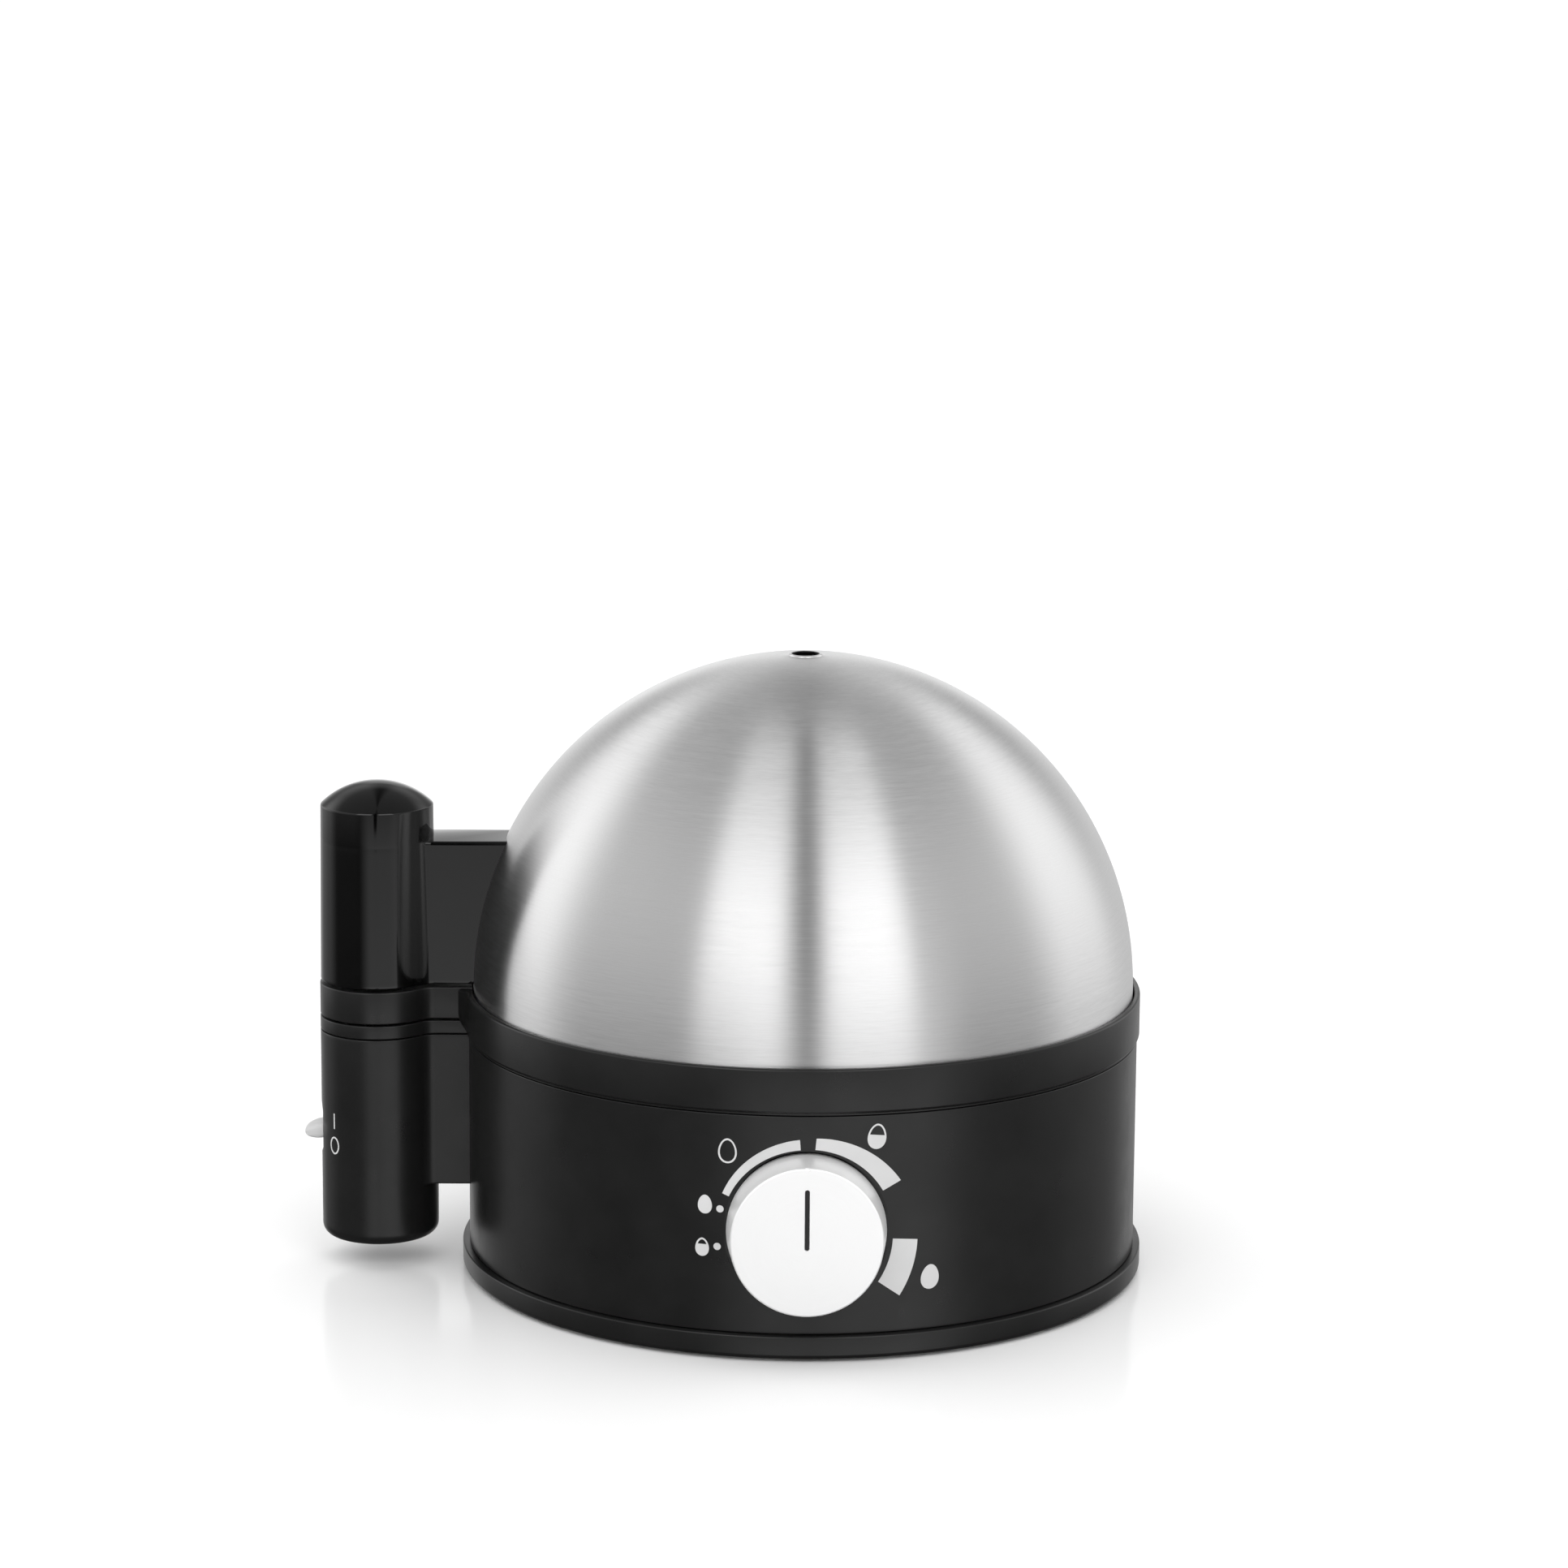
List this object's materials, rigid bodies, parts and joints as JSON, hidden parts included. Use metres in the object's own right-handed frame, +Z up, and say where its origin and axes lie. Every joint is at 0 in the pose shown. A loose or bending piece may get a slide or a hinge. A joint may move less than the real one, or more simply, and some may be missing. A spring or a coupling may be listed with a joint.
{
  "type": "egg cooker",
  "caption": "Electric egg cooker: round heated base with a timer dial and side switch, lift-out egg tray and a steel dome lid with a column handle.",
  "frame": {"origin": "middle of the footprint, on the surface that the cooker stands on", "axes": "+Z up; -Y towards the dial; -X towards the handle column"},
  "size_m": [0.2162, 0.1828, 0.1591],
  "materials": {
    "dome_steel": "brushed round the dome",
    "gloss_black": "high gloss",
    "satin_black": "satin moulded",
    "knob_silver": "satin silver",
    "pointer_black": "satin",
    "lever_grey": "satin light grey",
    "dish_steel": "bright rolled",
    "zinc_steel": "zinc plated",
    "element_steel": "heat darkened",
    "silicone": "matt",
    "foot_rubber": "matt",
    "white_ceramic": "matt",
    "dark_bakelite": "satin",
    "board_green": "lacquered",
    "lead_brown": "satin",
    "lead_blue": "satin",
    "mark_grey": "printed"
  },
  "bodies": {
    "base": {"base_housing": "satin_black", "collar_ring": "satin_black", "bottom_plate": "satin_black", "heating_plate": "dish_steel", "plate_gasket": "silicone", "heating_element": "element_steel", "heat_shield": "dish_steel", "thermostat": "dark_bakelite", "thermostat_strap": "zinc_steel", "thermal_fuse": "white_ceramic", "stud_nut_1": "zinc_steel", "stud_nut_2": "zinc_steel", "foot_1": "foot_rubber", "foot_2": "foot_rubber", "foot_3": "foot_rubber", "foot_4": "foot_rubber", "bottom_screw_1": "zinc_steel", "bottom_screw_2": "zinc_steel", "bottom_screw_3": "zinc_steel", "bottom_screw_4": "zinc_steel", "cord_gland": "foot_rubber", "control_board": "board_green", "board_relay": "dark_bakelite", "terminal_block": "white_ceramic", "buzzer": "dark_bakelite", "power_switch": "dark_bakelite", "lever_pin": "zinc_steel", "switch_lead_1": "lead_brown", "switch_lead_2": "lead_blue", "element_lead_1": "lead_brown", "element_lead_2": "lead_blue", "dial_regulator": "dark_bakelite", "dial_nut": "zinc_steel"},
    "lid": {"lid_dome": "dome_steel", "lid_handle": "gloss_black", "handle_plug": "gloss_black", "handle_screw_lower": "zinc_steel", "handle_screw_upper": "zinc_steel"},
    "tray": {"egg_tray": "satin_black"},
    "dial": {"control_knob": "knob_silver", "knob_pointer": "pointer_black", "dial_shaft": "zinc_steel"},
    "lever": {"switch_lever": "lever_grey"}
  },
  "joints": [
    {"name": "tray_lift", "type": "slide", "parent": "base", "child": "tray", "axis": [0, 0, 1], "range_m": [0, 0.04]},
    {"name": "lid_lift", "type": "slide", "parent": "tray", "child": "lid", "axis": [0, 0, 1], "range_m": [0, 0.09]},
    {"name": "knob_turn", "type": "hinge", "parent": "base", "child": "dial", "pos_m": [0.02035, 0.0036, 0.0325], "axis": [0, 1, 0], "range_deg": [-102, 128]},
    {"name": "switch_rock", "type": "hinge", "parent": "base", "child": "lever", "pos_m": [-0.09565, 0.0036, 0.0357], "axis": [0, 1, 0], "range_deg": [0, 17.2]}
  ]
}
